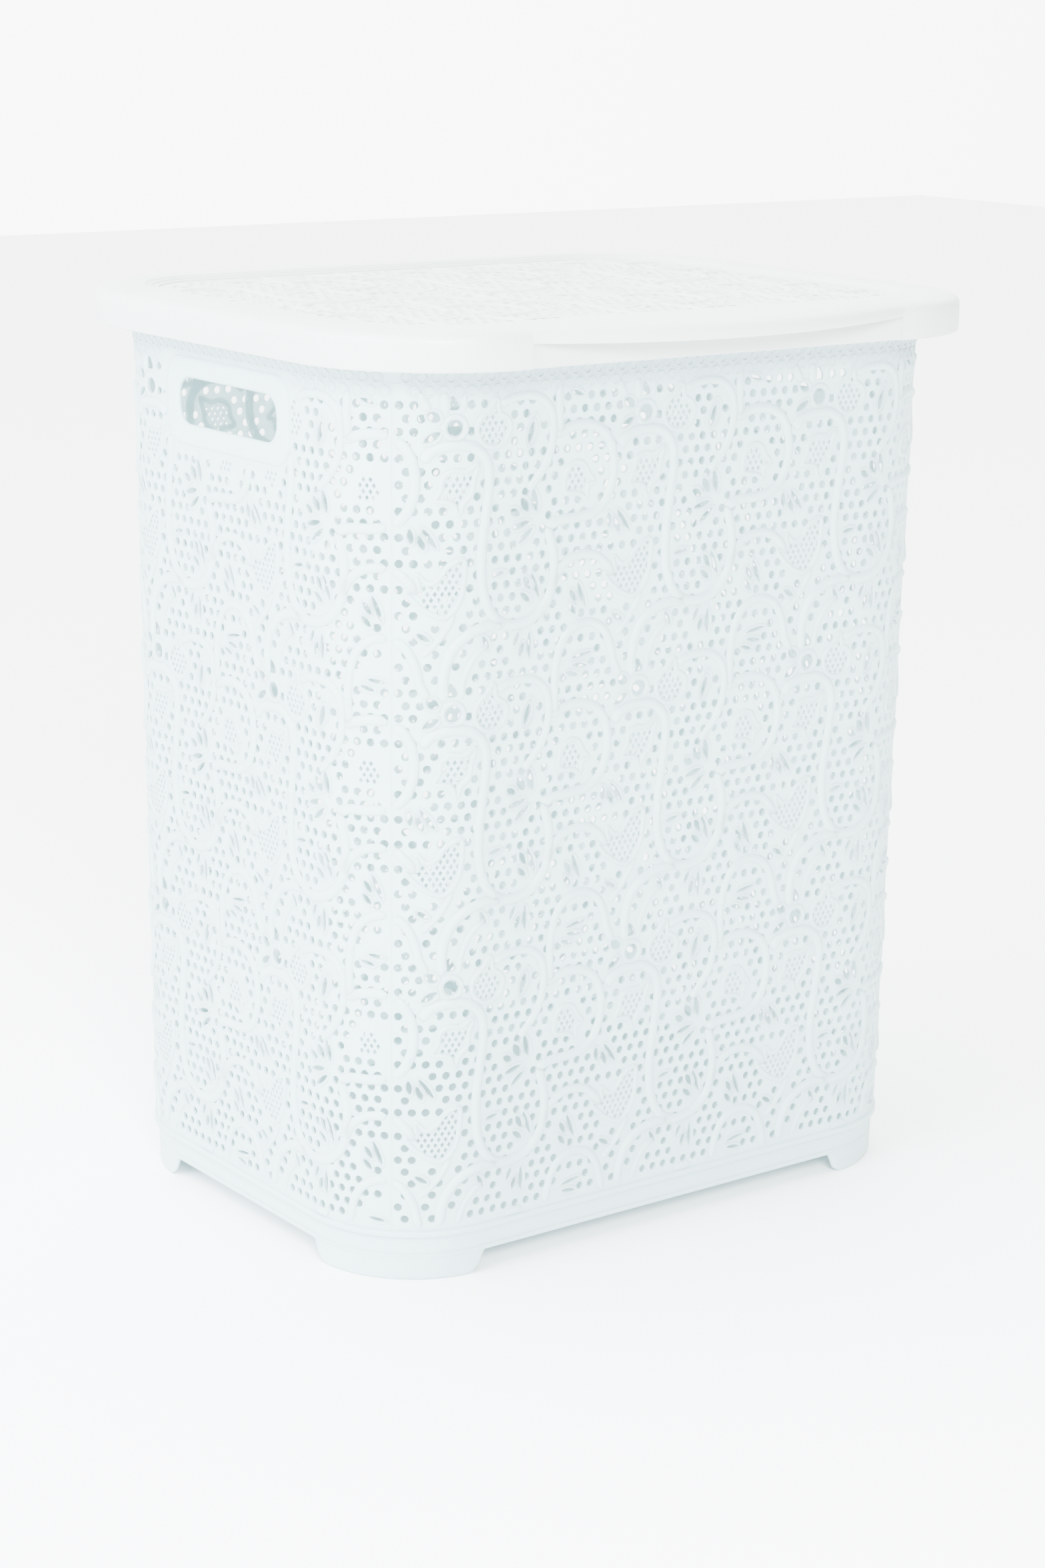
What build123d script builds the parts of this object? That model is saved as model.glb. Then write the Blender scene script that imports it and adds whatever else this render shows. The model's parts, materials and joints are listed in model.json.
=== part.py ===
from build123d import *
import os

# A free-standing laundry hamper: a tapered tub on four corner feet, with an
# overhanging lid that is hinged along the back. Millimetres, +Z up, front at -Y.
# The origin is under the middle of the object's box, on the floor.

# Tub: a rounded rectangle that widens towards the top
rim_width = 410.0
rim_depth = 301.0
rim_corner = 70.0
base_width = 400.0
base_depth = 291.0
base_corner = 67.0
tub_wall = 2.4
wall_bottom = 26.0
wall_top = 500.0

# Rim: the wall's top edge, flared out and then upright
flare_out = 5.0
flare_height = 8.0

# Handle slots in the two narrow sides, each in a plain raised frame
slot_length = 100.0
slot_height = 26.0
slot_corner = 11.0
slot_below_rim = 27.5
handle_border = 12.0
handle_border_corner = 14.0
handle_proud = 1.2

# Plinth, floor and feet
plinth_inset = 1.8
plinth_wall = 2.6
plinth_bottom = 13.3
floor_thick = 2.6
foot_inset = 3.0
foot_band = 16.0
foot_front_length = 63.0
foot_side_length = 62.0
foot_arch = 10.0
foot_round = 3.0

# Lid: a stepped border with a skirt, round a sunk panel
lid_side_overhang = 15.0
lid_end_overhang = 27.5
lid_corner = 84.0
lid_wall = 2.4
lid_above_wall = 29.3
skirt_height = 21.0
lid_round = 6.0
side_border = 38.0
front_border = 44.0
back_border = 34.0
panel_corner = 48.0
panel_thick = 2.2
panel_sunk = 2.8
ledge_width = 8.0
lid_rest_gap = 0.3

# Finger lip: the border bows out over a set-back stretch of skirt
lip_length = 258.0
lip_reach = 21.0
lip_height = 9.5
skirt_set_back = 2.5

# Hinges under the back of the lid
hinge_spread = 220.0
hinge_stand_off = 10.5
pin_radius = 2.5
pin_gap = 0.05
hinge_drop = 13.7
knuckle_radius = 5.0
knuckle_width = 14.0
knuckle_side_gap = 0.5
knuckle_mouth = 3.6
knuckle_neck = 4.0
ear_thick = 3.0
bracket_height = 10.0
bracket_plate = 2.4

# Worked-out sizes
slot_middle = wall_top - slot_below_rim
lid_width = rim_width + 2 * lid_side_overhang
lid_depth = rim_depth + 2 * lid_end_overhang
lid_top = wall_top + lid_above_wall
lid_underside = lid_top - lid_wall
rim_top = lid_underside - lid_rest_gap
flare_top = wall_top + flare_height
skirt_bottom = lid_top - skirt_height
lip_bottom = lid_top - lip_height
panel_top = lid_top - panel_sunk
panel_bottom = panel_top - panel_thick
hinge_y = rim_depth / 2 + flare_out + hinge_stand_off
hinge_z = lid_underside - hinge_drop
beyond = 200.0  # far enough past any face for a cutter

# The lip makes the front reach further out than the back
to_origin = Pos(0, lip_reach / 2, 0)


def outline(width, depth, corner, grow, height):
    """A rounded rectangle at one height, grown evenly on every side."""
    return Pos(0, 0, height) * RectangleRounded(
        width + 2 * grow, depth + 2 * grow, corner + grow
    )


def tub_outline(height, grow):
    """The tub's outer outline at one height, following its taper."""
    share = (height - wall_bottom) / (wall_top - wall_bottom)
    width = base_width + share * (rim_width - base_width)
    depth = base_depth + share * (rim_depth - base_depth)
    corner = base_corner + share * (rim_corner - base_corner)
    return outline(width, depth, corner, grow, height)


def tub_block(grow, low=wall_bottom, high=wall_top):
    """The solid inside one offset of the tub's outer face."""
    return loft([tub_outline(low, grow), tub_outline(high, grow)], ruled=True)


def base_outline(inset, height):
    """An outline set in from the bottom of the tub wall."""
    return outline(base_width, base_depth, base_corner, -inset, height)


def quarter(side):
    """A wedge that holds one side of the tub, up to the middle of its corners."""
    x = rim_width / 2 - rim_corner
    y = rim_depth / 2 - rim_corner
    if side in ("front", "back"):
        points = [(-x, y), (x, y), (x + beyond, y + beyond), (-x - beyond, y + beyond)]
        turn = 180 if side == "front" else 0
    else:
        points = [(x, -y), (x, y), (x + beyond, y + beyond), (x + beyond, -y - beyond)]
        turn = 180 if side == "left" else 0
    face = make_face(Polyline(*points, close=True))
    return Rot(0, 0, turn) * extrude(face, lid_top)


def handle_prism(side, grow, corner):
    """A rounded slot run through one narrow side of the tub."""
    at_side = 1 if side == "right" else -1
    middle = Plane(origin=(0, 0, slot_middle), x_dir=(0, 1, 0), z_dir=(at_side, 0, 0))
    face = RectangleRounded(slot_length + 2 * grow, slot_height + 2 * grow, corner)
    return extrude(middle * face, rim_width / 2 + beyond)


def make_wall(side):
    wall = (tub_block(0) - tub_block(-tub_wall)) & quarter(side)
    if side in ("left", "right"):
        wall -= handle_prism(side, handle_border, handle_border_corner)
    return wall


def make_handle_frame(side):
    """A plain band round the handle slot, a little proud of the wall."""
    band = handle_prism(side, handle_border, handle_border_corner)
    band -= handle_prism(side, 0, slot_corner)
    return (tub_block(handle_proud) - tub_block(-tub_wall)) & band


def make_rim():
    """The flared top edge, of the same thickness as the wall."""
    parts = []
    for grow in (0, -tub_wall):
        low = outline(rim_width, rim_depth, rim_corner, grow, wall_top)
        high = outline(rim_width, rim_depth, rim_corner, flare_out + grow, flare_top)
        parts.append(loft([low, high], ruled=True) + extrude(high, rim_top - flare_top))
    return parts[0] - parts[1]


def make_plinth():
    height = wall_bottom - plinth_bottom - floor_thick
    low = wall_bottom - height
    band = extrude(base_outline(plinth_inset, low), height)
    return band - extrude(base_outline(plinth_inset + plinth_wall, low), height)


def make_floor():
    return extrude(base_outline(plinth_inset, plinth_bottom), floor_thick)


def make_foot(x_side, y_side):
    """One corner of a band under the plinth, arched into it at both ends."""
    inset = plinth_inset + foot_inset
    band = extrude(base_outline(inset, 0), plinth_bottom)
    low_edges = band.edges().group_by(Axis.Z)[0]
    band = fillet(low_edges, foot_round)
    band -= extrude(base_outline(inset + foot_band, 0), plinth_bottom)
    front_gap = base_width - 2 * (inset + foot_front_length)
    side_gap = base_depth - 2 * (inset + foot_side_length)
    band -= arch(Plane.XZ, front_gap)
    band -= arch(Plane.YZ, side_gap)
    corner = Pos(x_side * beyond, y_side * beyond, 0) * Box(
        2 * beyond, 2 * beyond, 4 * plinth_bottom
    )
    return band & corner


def arch(plane, width):
    """The open gap between two feet, with rounded top corners."""
    height = 4 * plinth_bottom
    face = Pos(0, plinth_bottom - height / 2) * RectangleRounded(width, height, foot_arch)
    return extrude(plane * face, base_width, both=True)


def lid_outline(grow, height):
    return outline(lid_width, lid_depth, lid_corner, grow, height)


def lip_outline(grow, height):
    """The bow of the finger lip, closed a little way inside the border."""
    front = -lid_depth / 2
    end = lip_length / 2 + grow
    reach = lip_reach + grow
    bow = ThreePointArc((-end, front), (0, front - reach), (end, front))
    inside = front + lid_corner / 2
    rest = Polyline((end, front), (end, inside), (-end, inside), (-end, front))
    return Pos(0, 0, height) * make_face(bow + rest)


def panel_outline(grow, height):
    width = lid_width - 2 * side_border
    depth = lid_depth - front_border - back_border
    shift = (front_border - back_border) / 2
    return Pos(0, shift, 0) * outline(width, depth, panel_corner, grow, height)


def front_strip(grow, low, high):
    """A block over the set-back stretch of the front skirt."""
    depth = skirt_set_back + lid_wall + beyond
    back = -lid_depth / 2 + skirt_set_back + grow
    return Pos(0, back, low) * Box(
        lip_length + 2 * grow, depth, high - low, align=(Align.CENTER, Align.MAX, Align.MIN)
    )


def lid_shell():
    """The lid's border, skirt and lip in one, before they are parted."""
    top = extrude(lid_outline(0, lip_bottom) + lip_outline(0, lip_bottom), lip_height)
    top = fillet(top.edges().group_by(Axis.Z)[-1], lid_round)
    skirt = extrude(lid_outline(0, skirt_bottom), lip_bottom - skirt_bottom)
    skirt -= front_strip(0, skirt_bottom, lip_bottom)
    return top + skirt


def lid_cavity():
    """The open space under the border, inside the skirt."""
    cavity = extrude(lid_outline(-lid_wall, skirt_bottom), lid_underside - skirt_bottom)
    cavity -= front_strip(lid_wall, skirt_bottom, lid_underside)
    return cavity


def lip_hollow():
    """The finger space under the lip, in front of the set-back skirt."""
    hollow = extrude(lip_outline(-lid_wall, lip_bottom), lid_underside - lip_bottom)
    return hollow & front_strip(0, lip_bottom, lid_underside)


def make_lid_frame():
    frame = lid_shell() - lid_cavity() - lip_hollow()
    frame += extrude(panel_outline(ledge_width, panel_bottom), lid_underside - panel_bottom)
    step = panel_sunk / 2
    frame -= extrude(panel_outline(ledge_width, lid_top - step), lid_round)
    frame -= extrude(panel_outline(0, panel_bottom), lid_round)
    return frame - lip_block()


def lip_block():
    """Everything in front of the lid's straight front face."""
    return Pos(0, -lid_depth / 2, lid_top) * Box(
        lid_width, beyond, beyond, align=(Align.CENTER, Align.MAX, Align.CENTER)
    )


def make_finger_lip():
    return (lid_shell() - lip_hollow()) & lip_block()


def make_lid_panel():
    return extrude(panel_outline(0, panel_bottom), panel_thick)


def along_x(radius, length):
    """A cylinder on the hinge line."""
    return Pos(0, hinge_y, hinge_z) * Rot(0, 90, 0) * Cylinder(radius, length)


def make_bracket():
    """Two ears on a back plate, bored for the pin."""
    inner = knuckle_width + 2 * knuckle_side_gap
    width = inner + 2 * ear_thick
    face = rim_depth / 2 + flare_out
    reach = hinge_y - face
    arm = Pos(0, face, hinge_z) * Box(
        width, reach, bracket_height, align=(Align.CENTER, Align.MIN, Align.CENTER)
    )
    bracket = arm + along_x(bracket_height / 2, width)
    gap = Pos(0, face + bracket_plate, hinge_z) * Box(
        inner, beyond, beyond, align=(Align.CENTER, Align.MIN, Align.CENTER)
    )
    return bracket - gap - along_x(pin_radius, 2 * width)


def make_pin():
    return along_x(pin_radius, knuckle_width + 2 * knuckle_side_gap + 2 * ear_thick)


def make_clip():
    """A springy hook that hangs from the border and grips the pin."""
    hook = along_x(knuckle_radius, knuckle_width)
    neck = Pos(0, hinge_y, hinge_z) * Box(
        knuckle_width, knuckle_neck, hinge_drop, align=(Align.CENTER, Align.CENTER, Align.MIN)
    )
    mouth = Pos(0, hinge_y, hinge_z) * Box(
        2 * knuckle_width,
        knuckle_mouth,
        2 * knuckle_radius,
        align=(Align.CENTER, Align.CENTER, Align.MAX),
    )
    return hook + neck - mouth - along_x(pin_radius + pin_gap, 2 * knuckle_width)


def save(name, shape):
    export_step(to_origin * shape, f"parts/{name}.step")
    print(name, round(shape.volume))


os.makedirs("parts", exist_ok=True)

for side in ("front", "back", "left", "right"):
    save(f"wall_{side}", make_wall(side))
for side in ("left", "right"):
    save(f"handle_frame_{side}", make_handle_frame(side))
save("rim_collar", make_rim())
save("plinth_band", make_plinth())
save("base_floor", make_floor())
for y_name, y_side in (("front", -1), ("back", 1)):
    for x_name, x_side in (("left", -1), ("right", 1)):
        save(f"foot_{y_name}_{x_name}", make_foot(x_side, y_side))
save("lid_frame", make_lid_frame())
save("lid_panel", make_lid_panel())
save("finger_lip", make_finger_lip())
for name, x_side in (("left", -1), ("right", 1)):
    at_hinge = Pos(x_side * hinge_spread / 2, 0, 0)
    save(f"hinge_bracket_{name}", at_hinge * make_bracket())
    save(f"hinge_pin_{name}", at_hinge * make_pin())
    save(f"hinge_clip_{name}", at_hinge * make_clip())
print("hinge line y", round(hinge_y + lip_reach / 2, 3), "z", round(hinge_z, 3))
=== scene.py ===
import json
import math
import bpy
import bmesh
import numpy as np
from mathutils import Matrix, Vector
from mathutils.geometry import delaunay_2d_cdt


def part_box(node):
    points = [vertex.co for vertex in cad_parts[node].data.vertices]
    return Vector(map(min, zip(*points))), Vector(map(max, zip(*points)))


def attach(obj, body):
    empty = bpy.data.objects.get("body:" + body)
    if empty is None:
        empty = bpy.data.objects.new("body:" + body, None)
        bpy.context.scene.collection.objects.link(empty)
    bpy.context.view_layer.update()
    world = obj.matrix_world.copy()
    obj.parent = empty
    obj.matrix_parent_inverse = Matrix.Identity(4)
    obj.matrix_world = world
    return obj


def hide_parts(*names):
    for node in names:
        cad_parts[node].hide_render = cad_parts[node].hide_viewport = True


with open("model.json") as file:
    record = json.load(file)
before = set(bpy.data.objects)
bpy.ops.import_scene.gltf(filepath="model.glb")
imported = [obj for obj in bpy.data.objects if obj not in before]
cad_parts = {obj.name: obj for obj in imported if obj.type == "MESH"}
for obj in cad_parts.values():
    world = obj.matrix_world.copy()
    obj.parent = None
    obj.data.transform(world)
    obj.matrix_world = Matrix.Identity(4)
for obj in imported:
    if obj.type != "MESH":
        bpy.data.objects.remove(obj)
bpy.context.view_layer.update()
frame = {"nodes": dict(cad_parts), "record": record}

mm = 0.001


def boxMm(*nodes):
    # the low and high corner of the box round some nodes
    corners = [np.array([list(corner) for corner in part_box(node)]) / mm for node in nodes]
    return np.min([c[0] for c in corners], axis=0), np.max([c[1] for c in corners], axis=0)


# The tub's outer face, read from the frame: a rounded rectangle that widens upwards
wallLow, wallHigh = boxMm("wall_front", "wall_back", "wall_left", "wall_right")
plinthLow, plinthHigh = boxMm("plinth_band")
rimLow, rimHigh = boxMm("rim_collar")
plinthInset = 1.8
tub = dict(
    middleY=(wallLow[1] + wallHigh[1]) / 2,
    topWidth=wallHigh[0] - wallLow[0],
    topDepth=wallHigh[1] - wallLow[1],
    topCorner=70.0,
    baseWidth=plinthHigh[0] - plinthLow[0] + 2 * plinthInset,
    baseDepth=plinthHigh[1] - plinthLow[1] + 2 * plinthInset,
    baseCorner=67.0,
    low=wallLow[2],
    high=wallHigh[2],
    wall=2.4,
    flare=(rimHigh[0] - rimLow[0]) / 2 - (wallHigh[0] - wallLow[0]) / 2,
    flareTop=508.3,
)
sideTurn = dict(front=0, right=90, back=180, left=270)


def tubSizeAt(z):
    share = (np.minimum(z, tub["high"]) - tub["low"]) / (tub["high"] - tub["low"])
    width = tub["baseWidth"] + share * (tub["topWidth"] - tub["baseWidth"])
    depth = tub["baseDepth"] + share * (tub["topDepth"] - tub["baseDepth"])
    corner = tub["baseCorner"] + share * (tub["topCorner"] - tub["baseCorner"])
    return width, depth, corner


def flareAt(z):
    # the rim curls outwards just below the lid
    climb = np.clip((z - tub["high"]) / (tub["flareTop"] - tub["high"]), 0, 1)
    return tub["flare"] * (1 - np.sqrt(1 - climb**2))


def halfLength(side, z):
    # half a wall, measured along its surface to the middle of its corners
    width, depth, corner = tubSizeAt(z)
    run = width if side in ("front", "back") else depth
    return run / 2 - corner + corner * math.pi / 4


def onWall(side, flat):
    # bends a flat drawing (along, up, out) round one wall of the tub
    along, z, out = flat.T
    width, depth, corner = tubSizeAt(z)
    run, cross = (width, depth) if side in ("front", "back") else (depth, width)
    straight = run / 2 - corner
    middle = (tub["low"] + tub["high"]) / 2
    s = along * halfLength(side, z) / halfLength(side, middle)
    bend = np.maximum(np.abs(s) - straight, 0) / corner
    radius = corner + out + flareAt(z)
    x = np.sign(s) * (np.minimum(np.abs(s), straight) + radius * np.sin(bend))
    y = corner - cross / 2 - radius * np.cos(bend)
    turn = math.radians(sideTurn[side])
    across = x * math.cos(turn) - y * math.sin(turn)
    inward = x * math.sin(turn) + y * math.cos(turn) + tub["middleY"]
    return np.stack([across, inward, z], axis=1)


# Small helpers for modelling

def pickOnly(piece):
    if bpy.context.object and bpy.context.object.mode != "OBJECT":
        bpy.ops.object.mode_set(mode="OBJECT")
    bpy.ops.object.select_all(action="DESELECT")
    piece.select_set(True)
    bpy.context.view_layer.objects.active = piece


def readVertices(piece):
    flat = np.empty(len(piece.data.vertices) * 3)
    piece.data.vertices.foreach_get("co", flat)
    return flat.reshape(-1, 3)


def placeVertices(piece, points):
    piece.data.vertices.foreach_set("co", (np.asarray(points, float) * mm).ravel())
    piece.data.update()


def smoothShade(piece, angle=35):
    pickOnly(piece)
    bpy.ops.object.shade_smooth_by_angle(angle=math.radians(angle))


def handOver(piece, name, body, slot, nodes=()):
    piece.name = name
    piece.data.name = name
    piece.data.materials.clear()
    piece.data.materials.append(bpy.data.materials[slot])
    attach(piece, body)
    if nodes:
        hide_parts(*nodes)
    print("made", name, len(piece.data.polygons), "faces")
    return piece


# Materials: white moulded plastic, with a faint grain and flow marks

roughnessSpread = 0.06


def mouldedGroup():
    group = bpy.data.node_groups.new("mouldedSurface", "ShaderNodeTree")
    face = group.interface
    for name, kind, value in (
        ("Colour", "NodeSocketColor", (0.8, 0.8, 0.8, 1)),
        ("Tint", "NodeSocketColor", (0.75, 0.78, 0.8, 1)),
        ("Tint Amount", "NodeSocketFloat", 0.3),
        ("Roughness", "NodeSocketFloat", 0.4),
        ("Grain Scale", "NodeSocketFloat", 900.0),
        ("Flow Scale", "NodeSocketFloat", 9.0),
    ):
        face.new_socket(name, in_out="INPUT", socket_type=kind).default_value = value
    face.new_socket("Colour", in_out="OUTPUT", socket_type="NodeSocketColor")
    face.new_socket("Roughness", in_out="OUTPUT", socket_type="NodeSocketFloat")
    face.new_socket("Height", in_out="OUTPUT", socket_type="NodeSocketFloat")
    nodes, links = group.nodes, group.links
    given = nodes.new("NodeGroupInput")
    result = nodes.new("NodeGroupOutput")
    where = nodes.new("ShaderNodeTexCoord")
    flow = nodes.new("ShaderNodeTexNoise")
    flow.inputs["Detail"].default_value = 3
    grain = nodes.new("ShaderNodeTexNoise")
    grain.inputs["Detail"].default_value = 2
    links.new(where.outputs["Object"], flow.inputs["Vector"])
    links.new(where.outputs["Object"], grain.inputs["Vector"])
    links.new(given.outputs["Flow Scale"], flow.inputs["Scale"])
    links.new(given.outputs["Grain Scale"], grain.inputs["Scale"])
    amount = nodes.new("ShaderNodeMath")
    amount.operation = "MULTIPLY"
    links.new(flow.outputs["Fac"], amount.inputs[0])
    links.new(given.outputs["Tint Amount"], amount.inputs[1])
    blend = nodes.new("ShaderNodeMix")
    blend.data_type = "RGBA"
    links.new(amount.outputs[0], blend.inputs["Factor"])
    links.new(given.outputs["Colour"], blend.inputs["A"])
    links.new(given.outputs["Tint"], blend.inputs["B"])
    links.new(blend.outputs["Result"], result.inputs["Colour"])
    rough = nodes.new("ShaderNodeMapRange")
    rough.inputs["To Min"].default_value = -roughnessSpread
    rough.inputs["To Max"].default_value = roughnessSpread
    links.new(flow.outputs["Fac"], rough.inputs["Value"])
    total = nodes.new("ShaderNodeMath")
    total.operation = "ADD"
    links.new(rough.outputs["Result"], total.inputs[0])
    links.new(given.outputs["Roughness"], total.inputs[1])
    links.new(total.outputs[0], result.inputs["Roughness"])
    links.new(grain.outputs["Fac"], result.inputs["Height"])
    return group


plastics = dict(
    tub_plastic=dict(colour=(0.74, 0.935, 0.955), tint=(0.69, 0.915, 0.925), tintAmount=0.4,
                     roughness=0.42, grainDepth=0.02, glow=0.4, throughLight=0.5),
    lid_plastic=dict(colour=(0.72, 0.755, 0.735), tint=(0.66, 0.72, 0.70), tintAmount=0.35,
                     roughness=0.38, grainDepth=0.015, glow=0.05, throughLight=0.3),
)


def plasticMaterial(name, finish, group):
    material = bpy.data.materials.new(name)
    material.use_nodes = True
    nodes, links = material.node_tree.nodes, material.node_tree.links
    shader = nodes["Principled BSDF"]
    surface = nodes.new("ShaderNodeGroup")
    surface.node_tree = group
    surface.inputs["Colour"].default_value = (*finish["colour"], 1)
    surface.inputs["Tint"].default_value = (*finish["tint"], 1)
    surface.inputs["Tint Amount"].default_value = finish["tintAmount"]
    surface.inputs["Roughness"].default_value = finish["roughness"]
    links.new(surface.outputs["Colour"], shader.inputs["Base Color"])
    links.new(surface.outputs["Roughness"], shader.inputs["Roughness"])
    bump = nodes.new("ShaderNodeBump")
    bump.inputs["Strength"].default_value = finish["grainDepth"]
    bump.inputs["Distance"].default_value = 0.0005
    links.new(surface.outputs["Height"], bump.inputs["Height"])
    links.new(bump.outputs["Normal"], shader.inputs["Normal"])
    shader.inputs["IOR"].default_value = 1.49
    shader.inputs["Transmission Weight"].default_value = finish["throughLight"]
    shader.inputs["Subsurface Weight"].default_value = finish["glow"]
    shader.inputs["Subsurface Radius"].default_value = (1.0, 0.95, 0.9)
    shader.inputs["Subsurface Scale"].default_value = 0.003
    return material


# the frame's own materials give up their names to the finished ones
for packed in list(bpy.data.materials):
    packed.name = packed.name + "_packed"
surfaceGroup = mouldedGroup()
for slotName, finish in plastics.items():
    plasticMaterial(slotName, finish, surfaceGroup)
nodeSlots = {part["node"]: part["material_slot"] for part in frame["record"]["subparts"]}
for nodeName, node in frame["nodes"].items():
    for place in node.material_slots:
        place.material = bpy.data.materials[nodeSlots[nodeName]]
print("materials done")


# The lace: one repeat of the drawing, in mm from the middle of its flower
lace = dict(
    repeatWidth=123.3,
    repeatHeight=152.8,
    netAcross=16,
    netUp=22,
    netStart=(12.9, 18.9),
    netHole=2.45,
    flowerHole=4.4,
    latticeAcross=3.9,
    latticeUp=3.2,
    latticeHole=(1.2, 1.6),
    latticeEdge=1.9,
    leafGap=0.2,
    slitGap=0.9,
    almondGap=0.5,
    slitRim=0.85,
    leafRim=1.6,
    flowerRim=(6.2, 1.5),
    almondRim=1.0,
    holeMargin=1.2,
    cordTrim=0.6,
    sheetTop=-0.35,
    cordWiden=1.32,
    cordEnd=0.55,
    cordClear=1.7,
    cordFlatness=0.56,
    lidCordFlatness=0.42,
    edgeRound=0.5,
)
cordLines = dict(
    scroll=(2.3, [(-17, -17.5), (-13, -12.5), (-6, -9.8), (1, -9), (9, -10), (15.5, -14), (19.5, -21),
                  (20, -32), (18, -48), (16, -63), (15.6, -77), (17.5, -90), (23, -101), (32, -107),
                  (42, -107.5), (52, -104), (59.5, -96), (63, -84), (62.5, -70), (58.5, -57)]),
    circle=(2.2, [(-60, -8), (-51, -4.5), (-41, -3.5), (-31, -6.5), (-24.5, -13), (-21.3, -23),
                  (-21.5, -34), (-26, -45.5), (-34, -51.5), (-45, -53.5), (-57, -54), (-65, -57)]),
    stalk=(2.3, [(-5.3, 8), (-5.8, 18), (-4, 28), (1, 37), (9, 43), (19, 46), (31, 46.3)]),
    inner=(1.3, [(4.3, 8), (5.3, 17), (8.5, 25), (13.5, 31.5), (19.5, 36)]),
    hook=(1.9, [(27, 10.5), (34, 13.5), (44, 14.5), (53, 12.5), (59.5, 6), (61.5, -4), (60, -15),
                (56, -24), (50, -31), (45.5, -36)]),
    arch=(2.0, [(-61, -90), (-57.5, -82), (-50, -76), (-41, -74), (-32, -75.5), (-25.5, -80),
                (-20.5, -87)]),
    loop=(2.0, [(-57, -8), (-58.3, 4), (-57.7, 18), (-55, 29), (-49.5, 37), (-41, 41), (-32, 40),
                (-25, 35), (-20.5, 26), (-18, 16), (-14, 9.5)]),
    stem=(1.4, [(0, 54), (-5, 45), (-11, 38), (-17, 32)]),
)
# leaf-shaped slits: middle, length, width and lean in degrees
slits = [
    (39, 37.2, 7.5, 2.6, 65), (42.5, 31, 7.5, 3.4, 75), (47.5, 32.8, 14, 2.6, 91),
    (19, 37.5, 8, 2.6, 120), (47, -5.2, 12, 3.8, 75),
    (50, -41.8, 12.5, 4.0, 103), (43.6, -43.6, 9, 5, 124), (37.2, -47.2, 7, 4, 152),
    (41, -54.2, 11.5, 3.2, 14), (44.3, -60, 11.5, 3.0, 38),
    (-23.4, -56.8, 8, 3.4, 97), (-17.7, -60, 8.5, 3.6, 113), (-13.8, -57.5, 14, 2.6, 127),
    (-41.2, 57, 14.5, 2.8, 112), (-46.7, 56.7, 8, 3.2, 123), (-47.2, 49.6, 7.5, 3.2, 132),
    (-40.3, 23.4, 13, 1.9, 10), (-41.5, 17.8, 9.5, 2.2, 172), (-46.5, 13.6, 8, 2.2, 163),
    (26.6, -79, 8.5, 2.2, 10), (45.8, -86, 8.5, 4, 124), (51, -87.5, 14.5, 2.8, 111),
    (44.6, -93.6, 8, 3.2, 142), (-16.5, 42, 8, 2.8, 150), (-12.3, -4.8, 10, 4, 30),
    (-11.3, 5.9, 7.5, 5.4, 150),
]
# raised leaves that are filled with a fine lattice: their outlines
leaves = [
    [(13.2, 3), (12.6, -4), (16.5, -9.5), (23, -11.5), (30, -8.5), (33.5, -1), (30.5, 4), (26, 7),
     (24.5, 14.5), (19.5, 9)],
    [(-6.5, -26), (-1, -22.3), (6, -23), (13, -19.5), (10.5, -28), (9.5, -35), (4.5, -40), (2, -46),
     (-1.5, -39.5), (-10.5, -38), (-7.5, -32)],
    [(-52, -27), (-47, -23.5), (-41, -25), (-38, -30.5), (-34, -35), (-38.5, -37), (-39.5, -43.5),
     (-44.5, -40.5), (-53.5, -39), (-54, -32)],
    [(-20, -77), (-14, -82), (-8, -79), (-3.5, -73), (5, -69.5), (5.5, -80), (3, -92), (-4, -100),
     (-12, -98.5), (-20, -93), (-26, -86), (-19, -85.5)],
]
flowerDrop = [(-1.6, 17), (-4.4, 12.5), (-3.8, 9.6), (1.6, 9.4), (2.0, 12.5)]
almond = (47.2, -4.5, 19, 8.5, 72)


def smoothLine(points, closed=False, steps=4):
    # a curve through the points, without corners
    p = np.array(points, float)
    q = np.vstack([p[-1:], p, p[:2]]) if closed else np.vstack([2 * p[0] - p[1], p, 2 * p[-1] - p[-2]])
    line = []
    for a, b, c, d in zip(q[:-3], q[1:-2], q[2:-1], q[3:]):
        for t in np.arange(steps) / steps:
            line.append(b + 0.5 * t * (c - a + t * (2 * a - 5 * b + 4 * c - d + t * (3 * b - a - 3 * c + d))))
    return np.array(line if closed else line + [p[-1]])


def circleLoop(x, y, radius, count):
    angle = (np.arange(count) + 0.5) * 2 * math.pi / count
    return np.stack([x + radius * np.cos(angle), y + radius * np.sin(angle)], axis=1)


def leafLoop(x, y, length, width, lean, count=10):
    angle = np.arange(count) * 2 * math.pi / count
    along = length / 2 * np.cos(angle)
    across = width / 2 * np.sin(angle) * np.abs(np.sin(angle)) ** 0.35
    turn = math.radians(lean)
    return np.stack([x + along * math.cos(turn) - across * math.sin(turn),
                     y + along * math.sin(turn) + across * math.cos(turn)], axis=1)


def insideLoop(points, loop):
    x, y = points[:, 0:1], points[:, 1:2]
    x0, y0 = loop[:, 0], loop[:, 1]
    x1, y1 = np.roll(x0, -1), np.roll(y0, -1)
    spans = (y0 > y) != (y1 > y)
    crossing = x0 + (y - y0) * (x1 - x0) / np.where(y1 == y0, 1e-9, y1 - y0)
    return np.sum(spans & (x < crossing), axis=1) % 2 == 1


def nearest(points, targets):
    return np.min(np.linalg.norm(points[:, None] - targets[None], axis=2), axis=1)


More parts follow.
